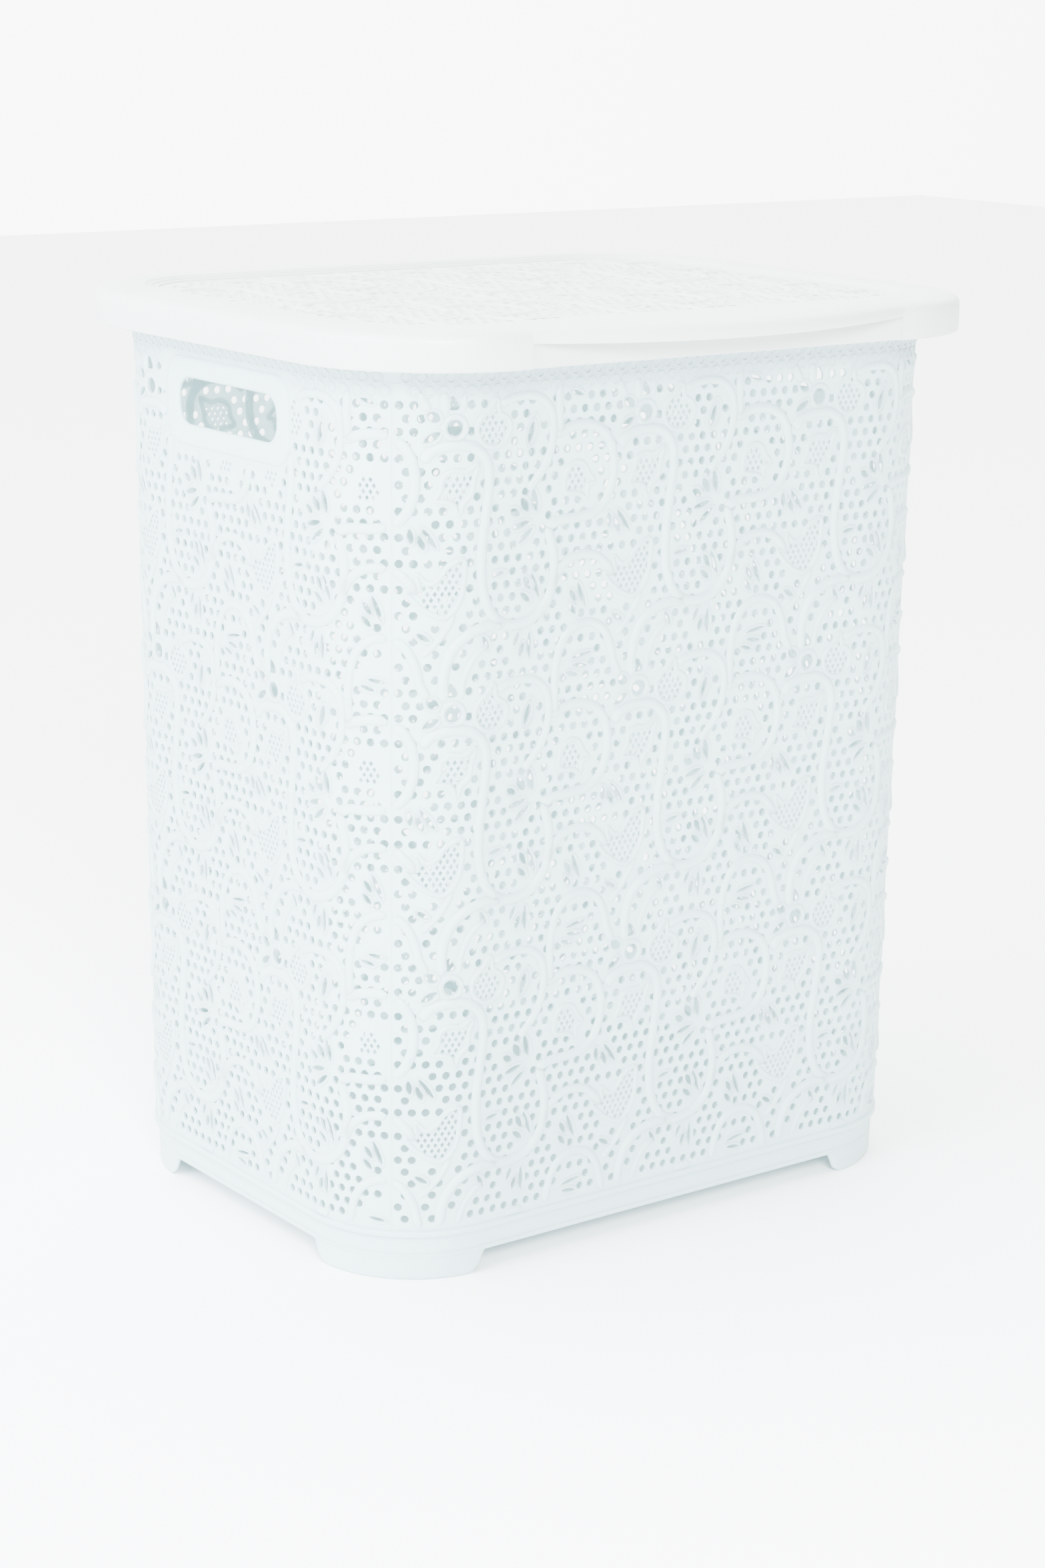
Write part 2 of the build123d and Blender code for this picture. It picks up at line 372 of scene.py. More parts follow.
def laceRepeat():
    # everything in one repeat: holes, raised cords, raised outlines and the net's places
    wide, high = lace["repeatWidth"], lace["repeatHeight"]
    around = [np.array([i * wide, j * high]) for i in (-1, 0, 1) for j in (-1, 0, 1)]
    cords = [(half, smoothLine(points)) for half, points in cordLines.values()]
    leafOutlines = [smoothLine(points, closed=True) for points in leaves]
    holes = [leafLoop(*slit) for slit in slits]
    holes.append(circleLoop(0, 0, lace["flowerHole"], 14))
    holes.append(smoothLine(flowerDrop, closed=True, steps=2))
    net = [
        (lace["netStart"][0] + (i + 0.5 * (j % 2)) * wide / lace["netAcross"],
         lace["netStart"][1] + j * high / lace["netUp"])
        for j in range(lace["netUp"]) for i in range(lace["netAcross"])
    ]
    net = np.array(net)
    net[:, 0] = (net[:, 0] + wide / 2) % wide - wide / 2
    net[:, 1] = (net[:, 1] + high / 2) % high - high / 2
    keep = np.ones(len(net), bool)
    for shift in around:
        for half, line in cords:
            keep &= nearest(net, line + shift) > lace["cordClear"]
        for outline in leafOutlines:
            keep &= nearest(net, outline + shift) > lace["netHole"] + lace["leafGap"]
            keep &= ~insideLoop(net, outline + shift)
        for hole in holes:
            keep &= nearest(net, hole + shift) > lace["netHole"] + lace["slitGap"]
            keep &= ~insideLoop(net, hole + shift)
        raised = leafLoop(*almond, count=24) + shift
        keep &= nearest(net, raised) > lace["netHole"] + lace["almondGap"]
    for outline in leafOutlines:
        low, top = outline.min(axis=0), outline.max(axis=0)
        across, up = lace["latticeAcross"], lace["latticeUp"]
        places = np.array([
            (low[0] + (i + 0.5 * (j % 2)) * across, low[1] + j * up)
            for j in range(int((top[1] - low[1]) / up) + 1)
            for i in range(int((top[0] - low[0]) / across) + 1)
        ])
        places = places[insideLoop(places, outline) & (nearest(places, outline) > lace["latticeEdge"])]
        halfWide, halfTall = lace["latticeHole"]
        diamond = np.array([(halfWide, 0), (0, halfTall), (-halfWide, 0), (0, -halfTall)])
        holes += [place + diamond for place in places]
    rims = [(lace["slitRim"], leafLoop(x, y, length + 2.6, width + 2.4, lean, 12))
            for x, y, length, width, lean in slits]
    rims += [(lace["leafRim"], outline) for outline in leafOutlines]
    radius, half = lace["flowerRim"]
    rims += [(half, circleLoop(0, 0, radius, 20)), (lace["almondRim"], leafLoop(*almond, count=20))]
    return dict(holes=holes, cords=cords, rims=rims, net=net[keep])


repeat = laceRepeat()


def laceOver(low, high, flower, fits):
    # repeats the drawing over a flat area; fits says which points are on it
    wide, tall = lace["repeatWidth"], lace["repeatHeight"]
    found = dict(holes=[], cords=[], rims=[])
    columns = range(math.floor((low[0] - flower[0]) / wide) - 1, math.ceil((high[0] - flower[0]) / wide) + 2)
    rows = range(math.floor((low[1] - flower[1]) / tall) - 1, math.ceil((high[1] - flower[1]) / tall) + 2)
    for i in columns:
        for j in rows:
            shift = np.array([flower[0] + i * wide, flower[1] + j * tall])
            loops = [hole + shift for hole in repeat["holes"]]
            loops += [circleLoop(*(place + shift), lace["netHole"], 8) for place in repeat["net"]]
            found["holes"] += [loop for loop in loops if fits(loop, lace["holeMargin"]).all()]
            found["rims"] += [(half, loop + shift) for half, loop in repeat["rims"]
                              if fits(loop + shift, half).all()]
            for half, line in repeat["cords"]:
                moved = line + shift
                runs = runsThatFit(moved, fits(moved, half * lace["cordTrim"]))
                found["cords"] += [(half, run) for run in runs]
    return found


def runsThatFit(line, good):
    # cuts a cord where it leaves the area
    runs, run = [], []
    for point, ok in zip(line, good):
        if ok:
            run.append(point)
        elif run:
            runs.append(np.array(run))
            run = []
    if run:
        runs.append(np.array(run))
    return [run for run in runs if len(run) > 2]


def flatSheet(name, loops, thickness):
    # a flat sheet with holes: the first loop is its edge. Curve filling leaves cracks between
    # this many holes, so the face is triangulated here and then extruded
    points = [Vector(point) for loop in loops for point in loop]
    edges, first = [], 0
    for loop in loops:
        edges += [(first + i, first + (i + 1) % len(loop)) for i in range(len(loop))]
        first += len(loop)
    corners, _, faces, origins, _, _ = delaunay_2d_cdt(points, edges, [], 1, 0.0001, True)
    owner = np.repeat(np.arange(len(loops)), [len(loop) for loop in loops])
    owners = np.array([owner[origin[0]] if origin else -1 for origin in origins])[np.array(faces)]
    inHole = (owners[:, 0] == owners[:, 1]) & (owners[:, 1] == owners[:, 2]) & (owners[:, 0] > 0)
    faces = [face for face, empty in zip(faces, inHole) if not empty]
    mesh = bpy.data.meshes.new(name)
    mesh.from_pydata([(x, y, -thickness / 2) for x, y in corners], [], faces)
    piece = bpy.data.objects.new(name, mesh)
    bpy.context.collection.objects.link(piece)
    pickOnly(piece)
    bpy.ops.object.mode_set(mode="EDIT")
    bpy.ops.mesh.select_all(action="SELECT")
    bpy.ops.mesh.extrude_region_move(TRANSFORM_OT_translate={"value": (0, 0, thickness)})
    bpy.ops.mesh.select_all(action="SELECT")
    bpy.ops.mesh.normals_make_consistent(inside=False)
    bpy.ops.object.mode_set(mode="OBJECT")
    return piece


def roundFrontEdges(piece, size):
    # softens every edge on the outer face of a flat sheet
    pickOnly(piece)
    bpy.ops.object.mode_set(mode="EDIT")
    bpy.ops.mesh.select_all(action="DESELECT")
    sheet = bmesh.from_edit_mesh(piece.data)
    for edge in sheet.edges:
        front = all(vertex.co.z > 0 for vertex in edge.verts)
        edge.select = front and len(edge.link_faces) == 2 and edge.calc_face_angle(0) > 1.0
    bmesh.update_edit_mesh(piece.data)
    bpy.ops.mesh.bevel(offset=size, segments=1, clamp_overlap=True)
    bpy.ops.object.mode_set(mode="OBJECT")


def cordCurve(name, cords, rims):
    # raised cords and outlines as round tubes, flattened afterwards
    curve = bpy.data.curves.new(name, "CURVE")
    curve.dimensions = "3D"
    curve.bevel_depth = 1.0
    curve.bevel_resolution = 1
    curve.use_fill_caps = True
    curve.twist_mode = "Z_UP"
    for closed, lines in ((False, cords), (True, rims)):
        for half, line in lines:
            spline = curve.splines.new("POLY")
            spline.points.add(len(line) - 1)
            places = np.column_stack([line, np.zeros(len(line)), np.ones(len(line))])
            spline.points.foreach_set("co", places.ravel())
            radius = np.full(len(line), half)
            if not closed:
                radius[0] = radius[-1] = half * lace["cordEnd"]
            spline.points.foreach_set("radius", radius * (1 if closed else lace["cordWiden"]))
            spline.use_cyclic_u = closed
    piece = bpy.data.objects.new(name, curve)
    bpy.context.collection.objects.link(piece)
    pickOnly(piece)
    bpy.ops.object.convert(target="MESH")
    piece = bpy.context.object
    bpy.ops.object.mode_set(mode="EDIT")
    bpy.ops.mesh.select_all(action="SELECT")
    bpy.ops.mesh.remove_doubles(threshold=0.0005)
    bpy.ops.mesh.normals_make_consistent(inside=False)
    bpy.ops.object.mode_set(mode="OBJECT")
    return piece


def rectangleLoop(low, high, step):
    # a plain rectangle with enough points along its edges to bend
    xs = np.linspace(low[0], high[0], int((high[0] - low[0]) / step) + 1)
    ys = np.linspace(low[1], high[1], int((high[1] - low[1]) / step) + 1)
    return np.vstack([
        np.column_stack([xs[:-1], np.full(len(xs) - 1, low[1])]),
        np.column_stack([np.full(len(ys) - 1, high[0]), ys[:-1]]),
        np.column_stack([xs[:0:-1], np.full(len(xs) - 1, high[1])]),
        np.column_stack([np.full(len(ys) - 1, low[0]), ys[:0:-1]]),
    ])


def roundedLoop(middle, width, height, corner, steps=8):
    loop = []
    for k, (sx, sy) in enumerate(((1, -1), (1, 1), (-1, 1), (-1, -1))):
        for angle in np.radians(np.linspace(90 * k - 90, 90 * k, steps)):
            loop.append((middle[0] + sx * (width / 2 - corner) + corner * math.cos(angle),
                         middle[1] + sy * (height / 2 - corner) + corner * math.sin(angle)))
    return np.array(loop)


laceWalls = dict(
    flowerHeight=323.8,
    netTop=495.0,
    netBottom=32.0,
    frontFlower=-31.2,
    sheetThick=1.6,
    edgeStep=6.0,
    handleTuck=0.6,
    handleCorner=14.0,
    handleGap=1.6,
    guardCorner=15.0,
)
tubMiddle = (tub["low"] + tub["high"]) / 2


def runBefore(side):
    # the surface length from the middle of the front to the middle of this wall, going left
    order = ["front", "left", "back", "right"]
    pairs = zip(order, order[1:order.index(side) + 1])
    return sum(halfLength(first, tubMiddle) + halfLength(second, tubMiddle) for first, second in pairs)


def laceWall(side):
    # one perforated wall: the sheet with its holes, then its cords
    half = halfLength(side, tubMiddle)
    flower = (laceWalls["frontFlower"] + runBefore(side), laceWalls["flowerHeight"])
    opening = None
    if side in ("left", "right"):
        low, high = boxMm("handle_frame_" + side)
        size = (high[1] - low[1], high[2] - low[2])
        handleMiddle = (0, (low[2] + high[2]) / 2)
        tuck, gap = laceWalls["handleTuck"], laceWalls["handleGap"]
        opening = roundedLoop(handleMiddle, size[0] - tuck, size[1] - tuck, laceWalls["handleCorner"])
        guard = roundedLoop(handleMiddle, size[0] + 2 * gap, size[1] + 2 * gap, laceWalls["guardCorner"])

    def fits(points, margin):
        good = (np.abs(points[:, 0]) < half - margin) & (points[:, 1] < laceWalls["netTop"])
        good &= points[:, 1] > laceWalls["netBottom"]
        if opening is not None:
            good &= ~insideLoop(points, guard)
        return good

    drawing = laceOver((-half, tub["low"]), (half, tub["high"]), flower, fits)
    edge = rectangleLoop((-half, tub["low"]), (half, tub["high"]), laceWalls["edgeStep"])
    loops = [edge] + ([opening] if opening is not None else []) + drawing["holes"]
    thick = laceWalls["sheetThick"]
    sheet = flatSheet("lace" + side, loops, thick)
    roundFrontEdges(sheet, lace["edgeRound"])
    flat = readVertices(sheet)
    flat[:, 2] += lace["sheetTop"] - thick / 2
    placeVertices(sheet, onWall(side, flat))
    smoothShade(sheet)
    handOver(sheet, "lace_" + side, "tub", "tub_plastic", ["wall_" + side])
    cords = cordCurve("cords" + side, drawing["cords"], drawing["rims"])
    flat = readVertices(cords)
    flat[:, 2] = flat[:, 2] * lace["cordFlatness"] + lace["sheetTop"]
    placeVertices(cords, onWall(side, flat))
    smoothShade(cords, 60)
    handOver(cords, "lace_cords_" + side, "tub", "tub_plastic")


for side in ("front", "left", "back", "right"):
    laceWall(side)


# Pieces that run round the object, drawn as rings

cornerSteps = 20


def ringLoop(width, depth, corner, grow, z, middleY, frontStops, sideStops):
    # one rounded rectangle, anticlockwise from the left end of the front
    halfX, halfY = width / 2 - corner, depth / 2 - corner
    radius = corner + grow
    stops = dict(front=frontStops, right=sideStops, back=frontStops[::-1] * -1, left=sideStops[::-1] * -1)
    points = []
    for k, side in enumerate(("front", "right", "back", "left")):
        across, out = (halfX, halfY) if side in ("front", "back") else (halfY, halfX)
        for stop in stops[side]:
            points.append((k, stop * across, -out - radius))
        for angle in np.linspace(0, math.pi / 2, cornerSteps + 1):
            points.append((k, across + radius * math.sin(angle), -out - radius * math.cos(angle)))
    loop = []
    for k, x, y in points:
        for _ in range(k):
            x, y = -y, x
        loop.append((x, y + middleY, z))
    return np.array(loop)


def ringPiece(name, rings):
    # draws the first ring as a circle, extrudes it once for every other ring and closes it
    count = len(rings[0])
    bpy.ops.object.select_all(action="DESELECT")
    bpy.ops.mesh.primitive_circle_add(vertices=count, radius=1)
    piece = bpy.context.object
    bpy.ops.object.mode_set(mode="EDIT")
    bpy.ops.mesh.select_all(action="SELECT")
    for _ in rings:
        bpy.ops.mesh.extrude_region_move(TRANSFORM_OT_translate={"value": (0, 0, 1)})
    bpy.ops.object.mode_set(mode="OBJECT")
    placeVertices(piece, np.vstack(rings + [rings[0]]))
    piece.location = (0, 0, 0)
    bpy.ops.object.mode_set(mode="EDIT")
    bpy.ops.mesh.select_all(action="SELECT")
    bpy.ops.mesh.remove_doubles(threshold=0.000005)
    bpy.ops.mesh.dissolve_degenerate(threshold=0.000005)
    bpy.ops.mesh.normals_make_consistent(inside=False)
    bpy.ops.object.mode_set(mode="OBJECT")
    return piece


evenStops = np.linspace(-0.96, 0.96, 25)


def tubRing(grow, z):
    width, depth, corner = (float(v) for v in tubSizeAt(z))
    return ringLoop(width, depth, corner, grow, z, tub["middleY"], evenStops, evenStops)


rim = dict(round=0.7, ringRadius=2.7, ringHalf=0.75, ringFlatness=0.8, handleClear=4.0, cornerClear=3.0)


def rimCollar():
    # the flared rim above the lace, upright where the lid covers it
    wall, top = tub["wall"], rimHigh[2]
    heights = np.linspace(tub["high"] - 0.2, tub["flareTop"], 12)
    outer = [tubRing(float(flareAt(z)) + lace["sheetTop"] * (z < tub["high"] + 1), z) for z in heights]
    flare = tub["flare"]
    rounding = rim["round"]
    cap = [
        tubRing(flare, tub["flareTop"] + 2), tubRing(flare, top - rounding), tubRing(flare - rounding, top),
        tubRing(flare - wall + rounding, top), tubRing(flare - wall, top - rounding),
        tubRing(flare - wall, tub["flareTop"]),
    ]
    inner = [tubRing(float(flareAt(z)) - wall, z) for z in heights[-2::-1]]
    piece = ringPiece("rimCollar", outer + cap + inner)
    smoothShade(piece)
    handOver(piece, "rim", "tub", "tub_plastic", ["rim_collar"])


def rimEmboss(side):
    # above the last row of holes the net carries on as raised rings only
    half, passed = halfLength(side, tubMiddle), runBefore(side)
    across, up = lace["repeatWidth"] / lace["netAcross"], lace["repeatHeight"] / lace["netUp"]
    rings = []
    firstRow = laceWalls["flowerHeight"] + lace["netStart"][1]
    for j in range(60):
        z = firstRow + j * up
        if not laceWalls["netTop"] - 3 < z < tub["flareTop"] - 1:
            continue
        for i in range(-40, 40):
            x = laceWalls["frontFlower"] + passed + lace["netStart"][0] + (i + 0.5 * (j % 2)) * across
            x = (x + 400 * across + half) % (math.floor(2 * half / across) * across) - half + across / 2
            rings.append((round(x, 3), round(z, 3)))
    rings = sorted(set(rings))
    if side in ("left", "right"):
        low, high = boxMm("handle_frame_" + side)
        clear = rim["handleClear"]
        rings = [(x, z) for x, z in rings if abs(x) > (high[1] - low[1]) / 2 + clear or z > high[2] + clear]
    rings = [(x, z) for x, z in rings if abs(x) < half - rim["cornerClear"]]
    loops = [(rim["ringHalf"], circleLoop(x, z, rim["ringRadius"], 10)) for x, z in rings]
    piece = cordCurve("emboss" + side, [], loops)
    flat = readVertices(piece)
    flat[:, 2] = flat[:, 2] * rim["ringFlatness"] + lace["sheetTop"] * (flat[:, 1] < tub["high"])
    placeVertices(piece, onWall(side, flat))
    smoothShade(piece, 60)
    handOver(piece, "rim_emboss_" + side, "tub", "tub_plastic")


rimCollar()
for side in ("front", "left", "back", "right"):
    rimEmboss(side)


handle = dict(slotLength=100.0, slotHeight=26.0, slotCorner=11.0, corner=14.0, proud=0.75)


def handleFrame(side):
    # a soft raised frame round one hand slot
    low, high = boxMm("handle_frame_" + side)
    middle = (0, (low[2] + high[2]) / 2)
    length, height = high[1] - low[1], high[2] - low[2]
    slotLength, slotHeight, proud = handle["slotLength"], handle["slotHeight"], handle["proud"]

    def outer(grow, out):
        loop = roundedLoop(middle, length + 2 * grow, height + 2 * grow, handle["corner"] + grow)
        return onWall(side, np.column_stack([loop, np.full(len(loop), out)]))

    def slot(grow, out):
        loop = roundedLoop(middle, slotLength + 2 * grow, slotHeight + 2 * grow, handle["slotCorner"] + grow)
        return onWall(side, np.column_stack([loop, np.full(len(loop), out)]))

    # up over the soft outer shoulder, then down through the slot
    rings = [
        outer(0, -tub["wall"]), outer(0, lace["sheetTop"] - 0.1), outer(-0.7, 0.1),
        outer(-1.8, proud - 0.15), outer(-3.2, proud),
        slot(3.4, proud), slot(1.6, proud - 0.2), slot(0.5, proud - 0.8), slot(0, -0.8),
        slot(0, -1.6), slot(0.4, 0.3 - tub["wall"]), slot(1.0, -tub["wall"]),
    ]
    piece = ringPiece("handle" + side, rings)
    smoothShade(piece, 50)
    handOver(piece, "handle_" + side, "tub", "tub_plastic", ["handle_frame_" + side])


for side in ("left", "right"):
    handleFrame(side)


base = dict(
    wall=2.6,
    beadOut=1.0,
    beadRound=0.9,
    footEndX=136.0,
    footEndY=82.0,
    cornerReach=24.0,
    shoulder=9.0,
    gapHeight=13.3,
    beadHeight=4.2,
    bandFoot=19.0,
)


def baseStops(side):
    # where the band is sampled: closely beside the feet, loosely between them
    corner = tub["baseCorner"]
    straight = (tub["baseWidth"] if side == "front" else tub["baseDepth"]) / 2 - corner
    near = np.linspace(0.4, 20, 15)
    far = np.linspace(24, straight, 5)[:-1]
    offsets = np.concatenate([near, far])
    left = (straight - offsets) / straight
    return np.concatenate([-left, [0], left[::-1]])


def gapLift(x, y):
    # 0 on a foot and 1 in the gap between two feet, with a round shoulder between
    onFront = np.abs(y - tub["middleY"]) > tub["baseDepth"] / 2 - base["cornerReach"]
    onSide = np.abs(x) > tub["baseWidth"] / 2 - base["cornerReach"]
    past = np.where(onFront, base["footEndX"] - np.abs(x), -1)
    past = np.maximum(past, np.where(onSide, base["footEndY"] - np.abs(y - tub["middleY"]), -1))
    share = np.clip(past / base["shoulder"], 0, 1)
    return share * share * (3 - 2 * share)


def baseBand():
    # the plain band under the lace with its bead, running down into the four feet
    high = plinthHigh[2]
    inset, wall = -plinthInset, base["wall"]
    bead, r = base["beadOut"], base["beadRound"]
    beadTop = high + base["beadHeight"]

    def ring(grow, z):
        return ringLoop(tub["baseWidth"], tub["baseDepth"], tub["baseCorner"], grow, z, tub["middleY"],
                        baseStops("front"), baseStops("side"))

    def lowRing(grow, above):
        loop = ring(grow, 0.0)
        lift = gapLift(loop[:, 0], loop[:, 1])
        loop[:, 2] = base["gapHeight"] * lift + above
        return loop

    # up the inner side, over the bead, then down the band and round the lower edge of the feet
    rings = [
        lowRing(inset - wall, 0.4), ring(inset - wall, high), ring(-tub["wall"], high + 1),
        ring(-tub["wall"], high + 4), ring(lace["sheetTop"], beadTop), ring(bead, beadTop - r),
        ring(bead, high + r), ring(bead - r, high), ring(inset + 0.5, high - 0.3),
        ring(inset, high - 1.4), ring(inset - 0.1, base["bandFoot"]), lowRing(inset - 0.3, 2.6),
        lowRing(inset - 0.6, 1.0), lowRing(inset - 1.2, 0.25), lowRing(inset - 1.9, 0.0),
    ]
    piece = ringPiece("baseBand", rings)
    smoothShade(piece, 50)
    handOver(piece, "base_band", "tub", "tub_plastic",
             ["plinth_band", "foot_front_left", "foot_front_right", "foot_back_left", "foot_back_right"])


baseBand()


# The lid: a crowned border with two fine steps, a skirt, and a lip that bows out at the front
lidMiddleY = tub["middleY"]
lidLow, lidHigh = boxMm("lid_frame")
lipLow, lipHigh = boxMm("finger_lip")
panelLow, panelHigh = boxMm("lid_panel")
lid = dict(
    width=lidHigh[0] - lidLow[0],
    depth=lidHigh[1] - lidLow[1],
    corner=84.0,
    top=lidHigh[2],
    bottom=lidLow[2],
    panelWidth=panelHigh[0] - panelLow[0],
    panelDepth=panelHigh[1] - panelLow[1],
    panelY=(panelLow[1] + panelHigh[1]) / 2,
    panelCorner=48.0,
    panelTop=panelHigh[2],
    panelBottom=panelLow[2],
    wall=2.4,
    lipHalf=(lipHigh[0] - lipLow[0]) / 2,
    lipReach=lidLow[1] - lipLow[1],
    lipBottom=lipLow[2],
    lipRise=1.8,
    setBack=2.5,
    laceEdge=8.0,
    laceFlower=(-38.0, -32.0),
)
straightHalf = lid["width"] / 2 - lid["corner"]
lipEnd = lid["lipHalf"] / straightHalf
lipStops = np.concatenate([
    [-0.985, -lipEnd - 0.003], np.linspace(-lipEnd, lipEnd, 41), [lipEnd + 0.003, 0.985],
])


def lidRing(grow, z, share=0.0, bow=0.0, setBack=0.0, follow=0.0, lift=0.0):
    # share blends from the outer outline (0) to the panel's outline (1). On the lip, bow pushes the
    # front out, setBack draws it in, and follow and lift raise its ends and its middle
    outer = ringLoop(lid["width"], lid["depth"], lid["corner"], grow, z, lidMiddleY, lipStops, evenStops)
    inner = ringLoop(lid["panelWidth"], lid["panelDepth"], lid["panelCorner"], grow, z, lid["panelY"],
                     lipStops, evenStops)
    ring = (1 - share) * outer + share * inner
    front = np.arange(len(lipStops))
    x = outer[front, 0]
    reach = np.where(np.abs(x) <= lid["lipHalf"] + 0.01, 1 - (x / lid["lipHalf"]) ** 2, 0)
    onLip = np.abs(x) <= lid["lipHalf"] + 0.01
    ring[front, 1] -= bow * lid["lipReach"] * reach
    ring[front, 1] += setBack * onLip
    ring[front, 2] += follow * lid["lipRise"] * (1 - reach) * onLip
    ring[front, 2] += lift * np.clip(reach * 4, 0, 1)
    return ring


def lidFrame():
    top, bottom, low = lid["top"], lid["bottom"], lid["lipBottom"]
    wall, back = lid["wall"], lid["setBack"]
    under = top - wall
    panelTop, panelBottom = lid["panelTop"], lid["panelBottom"]
    # from the panel's seat over two fine steps and the crown, down to the lip's lower edge
    rings = [
        lidRing(0.2, panelBottom, share=1), lidRing(0.2, panelTop + 0.3, share=1),
        lidRing(0.6, panelTop + 0.7, share=1), lidRing(3.6, panelTop + 0.8, share=1),
        lidRing(4.0, panelTop + 1.0, share=1), lidRing(4.3, panelTop + 1.5, share=1),
        lidRing(4.7, panelTop + 1.8, share=1), lidRing(7.6, panelTop + 1.9, share=1),
        lidRing(8.0, panelTop + 2.1, share=1), lidRing(8.3, panelTop + 2.5, share=1),
        lidRing(8.8, panelTop + 2.7, share=1), lidRing(9.8, top - 0.1, share=1),
        lidRing(12, top, share=0.9, bow=0.02), lidRing(-9, top + 0.05, share=0.2, bow=0.45),
        lidRing(-10, top - 0.3, bow=0.75), lidRing(-6.5, top - 0.8, bow=0.9),
        lidRing(-4.0, top - 1.3, bow=0.95), lidRing(-2.3, top - 2.0, bow=0.98),
        lidRing(-1.1, top - 3.0, bow=1), lidRing(-0.4, top - 4.2, bow=1),
        lidRing(0, top - 5.8, bow=1, follow=0.3),
        lidRing(0, low + 0.7, bow=1, follow=1), lidRing(0, low + 0.2, bow=1, follow=1, setBack=0.2),
        lidRing(0, low - 0.05, bow=1, follow=1, setBack=0.8),
        lidRing(0, low - 0.1, bow=1, follow=1, setBack=1.7),
        lidRing(0, low - 0.2, bow=1, follow=1, setBack=2.2),
    ]
    # the hollow under the lip, then the skirt, its inner side and the underside
    rings += [
        lidRing(0, low - 0.25, bow=1, follow=0.6, setBack=2.4, lift=2.0),
        lidRing(0, low - 0.3, bow=0.96, setBack=2.4, lift=5.0),
        lidRing(0, low - 0.35, bow=0.7, setBack=2.4, lift=5.9),
        lidRing(0, low - 0.4, bow=0.1, setBack=back, lift=5.9),
        lidRing(0, low - 0.5, setBack=back, lift=5.0),
        lidRing(0, low - 1.0, setBack=back),
        lidRing(0, bottom + 1.2, setBack=back), lidRing(-0.3, bottom + 0.4, setBack=back),
        lidRing(-0.9, bottom, setBack=back), lidRing(-wall + 0.6, bottom, setBack=back),
        lidRing(-wall, bottom + 0.6, setBack=back), lidRing(-wall, under - 3.6, setBack=back),
        lidRing(-wall - 1.2, under - 1.2, setBack=back), lidRing(-wall - 3.6, under, setBack=back),
        lidRing(9, under, share=1), lidRing(8, panelBottom, share=1),
    ]
    piece = ringPiece("lidFrame", rings)
    smoothShade(piece, 40)
    handOver(piece, "lid_border", "lid", "lid_plastic", ["lid_frame", "finger_lip"])


lidFrame()


def lacePanel():
    # the sunk panel in the lid, perforated like the walls
    middle = np.array([0, lid["panelY"]])
    width, depth, corner = lid["panelWidth"], lid["panelDepth"], lid["panelCorner"]
    plain = lid["laceEdge"]
    inner = roundedLoop(middle, width - plain, depth - plain, corner - plain / 2, 12)

    def fits(points, margin):
        return insideLoop(points, inner)

    low, high = middle - (width / 2, depth / 2), middle + (width / 2, depth / 2)
    drawing = laceOver(low, high, lid["laceFlower"], fits)
    edge = roundedLoop(middle, width + 0.6, depth + 0.6, corner, 12)
    thick = lid["panelTop"] - lid["panelBottom"]
    sheet = flatSheet("lidLace", [edge] + drawing["holes"], thick)
    roundFrontEdges(sheet, lace["edgeRound"])
    flat = readVertices(sheet)
    flat[:, 2] += lid["panelTop"] - thick / 2
    placeVertices(sheet, flat)
    smoothShade(sheet)
    handOver(sheet, "lid_lace", "lid", "lid_plastic", ["lid_panel"])
    cords = cordCurve("lidCords", drawing["cords"], drawing["rims"])
    flat = readVertices(cords)
    flat[:, 2] = flat[:, 2] * lace["lidCordFlatness"] + lid["panelTop"]
    placeVertices(cords, flat)
    smoothShade(cords, 60)
    handOver(cords, "lid_lace_cords", "lid", "lid_plastic")


lacePanel()


# Floor, light and camera
studio = dict(floorSize=12.0, floorColour=(0.95, 0.95, 0.95), worldColour=(0.98, 1.0, 1.0),
              brightSide=(-0.45, 0.85, 0.27), brightStrength=9.4, dimStrength=0.6, fade=(-0.65, 0.5))


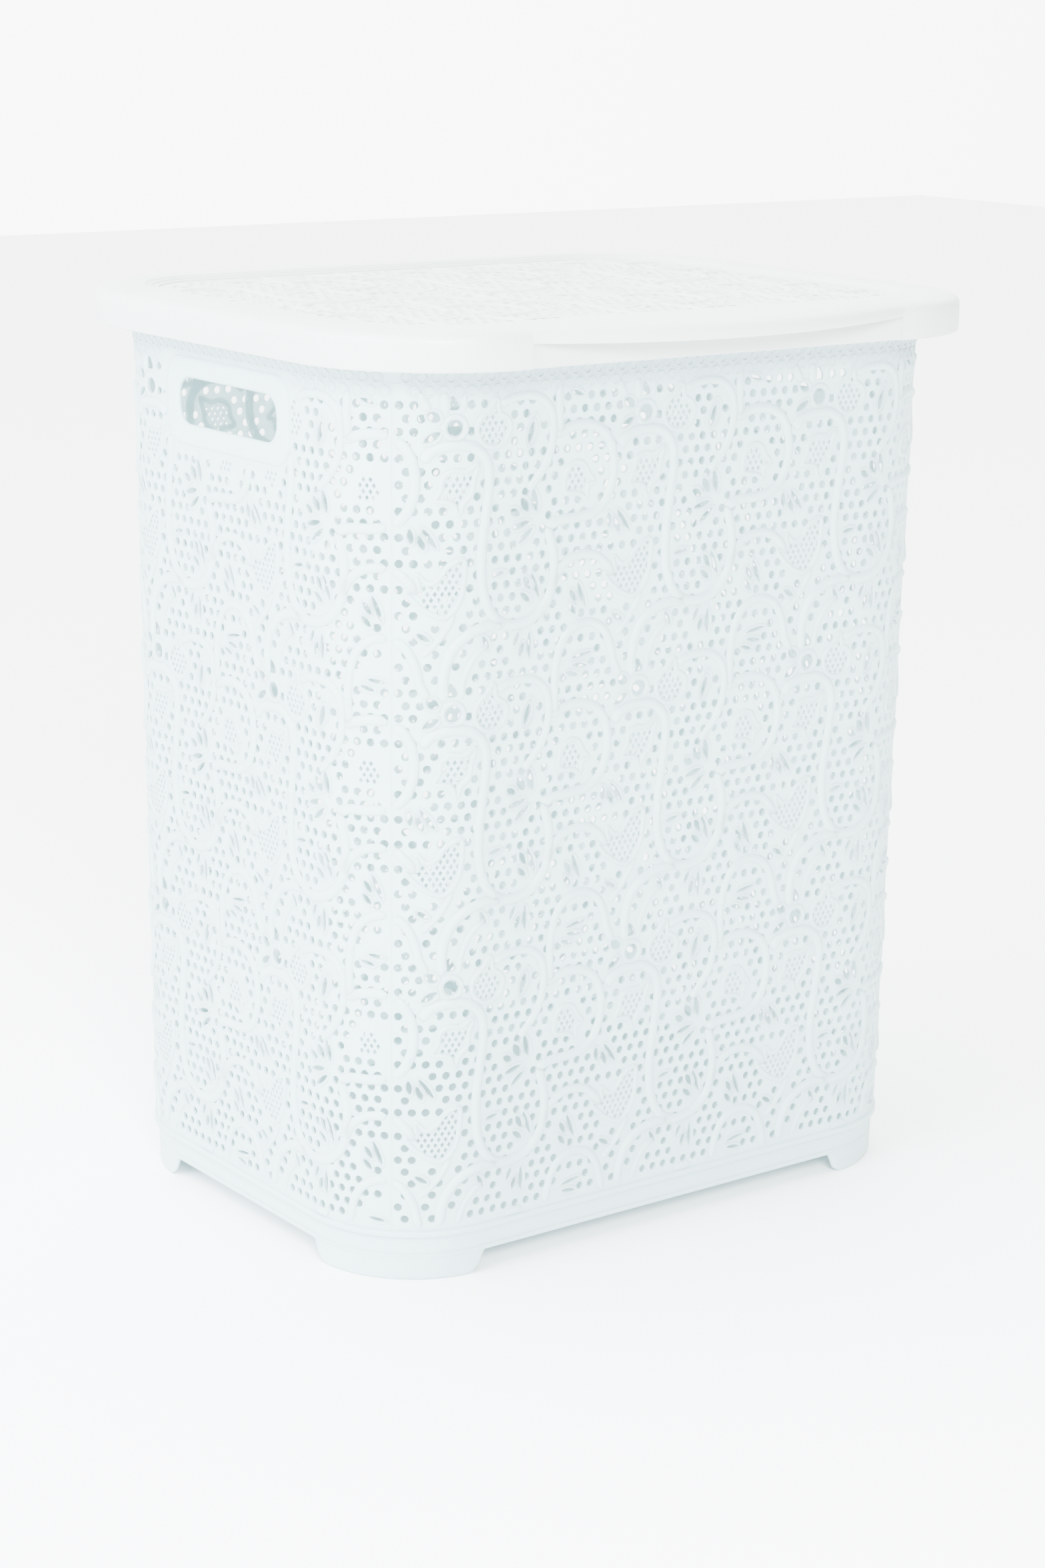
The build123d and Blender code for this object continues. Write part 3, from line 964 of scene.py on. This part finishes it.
def buildStudio():
    bpy.ops.object.select_all(action="DESELECT")
    bpy.ops.mesh.primitive_plane_add(size=studio["floorSize"], location=(0, 0, 0))
    floor = bpy.context.object
    floor.name = "studioFloor"
    material = bpy.data.materials.new("paleFloor")
    material.use_nodes = True
    shader = material.node_tree.nodes["Principled BSDF"]
    shader.inputs["Base Color"].default_value = (*studio["floorColour"], 1)
    shader.inputs["Roughness"].default_value = 0.9
    floor.data.materials.append(material)
    world = bpy.data.worlds.new("studioWorld")
    world.use_nodes = True
    nodes, links = world.node_tree.nodes, world.node_tree.links
    background = nodes["Background"]
    background.inputs["Color"].default_value = (*studio["worldColour"], 1)
    where = nodes.new("ShaderNodeTexCoord")
    towards = nodes.new("ShaderNodeVectorMath")
    towards.operation = "DOT_PRODUCT"
    towards.inputs[1].default_value = studio["brightSide"]
    strength = nodes.new("ShaderNodeMapRange")
    strength.interpolation_type = "SMOOTHSTEP"
    strength.inputs["From Min"].default_value = studio["fade"][0]
    strength.inputs["From Max"].default_value = studio["fade"][1]
    strength.inputs["To Min"].default_value = studio["dimStrength"]
    strength.inputs["To Max"].default_value = studio["brightStrength"]
    links.new(where.outputs["Generated"], towards.inputs[0])
    links.new(towards.outputs["Value"], strength.inputs["Value"])
    links.new(strength.outputs["Result"], background.inputs["Strength"])
    bpy.context.scene.world = world


lamps = dict(
    softFront=dict(place=(-1.2, -2.3, 1.55), size=0.9, power=330, colour=(0.95, 1, 1)),
    keyLeft=dict(place=(-2.2, -0.3, 1.5), size=1.6, power=175, colour=(0.88, 0.97, 1.16)),
)


def buildLamps():
    aim = Vector((0, 0, 0.26))
    for name, lamp in lamps.items():
        light = bpy.data.lights.new(name, "AREA")
        light.shape = "DISK"
        light.size = lamp["size"]
        light.energy = lamp["power"]
        light.color = lamp["colour"]
        holder = bpy.data.objects.new(name, light)
        holder.location = lamp["place"]
        holder.rotation_euler = (aim - holder.location).to_track_quat("-Z", "Y").to_euler()
        bpy.context.collection.objects.link(holder)


view = dict(place=(-1118.8, -1489.9, 714.4), target=(0.1, 10.4, 232.5), roll=0.766, lens=73.92)


def buildCamera():
    camera = bpy.data.cameras.new("mainView")
    camera.sensor_fit = "VERTICAL"
    camera.sensor_height = 36
    camera.lens = view["lens"]
    holder = bpy.data.objects.new("mainView", camera)
    place, target = Vector(view["place"]) * mm, Vector(view["target"]) * mm
    turn = (target - place).to_track_quat("-Z", "Y").to_matrix()
    turn = turn @ Matrix.Rotation(math.radians(view["roll"]), 3, "Z")
    holder.matrix_world = Matrix.Translation(place) @ turn.to_4x4()
    bpy.context.collection.objects.link(holder)
    bpy.context.scene.camera = holder


buildStudio()
buildLamps()
buildCamera()
print("studio done")
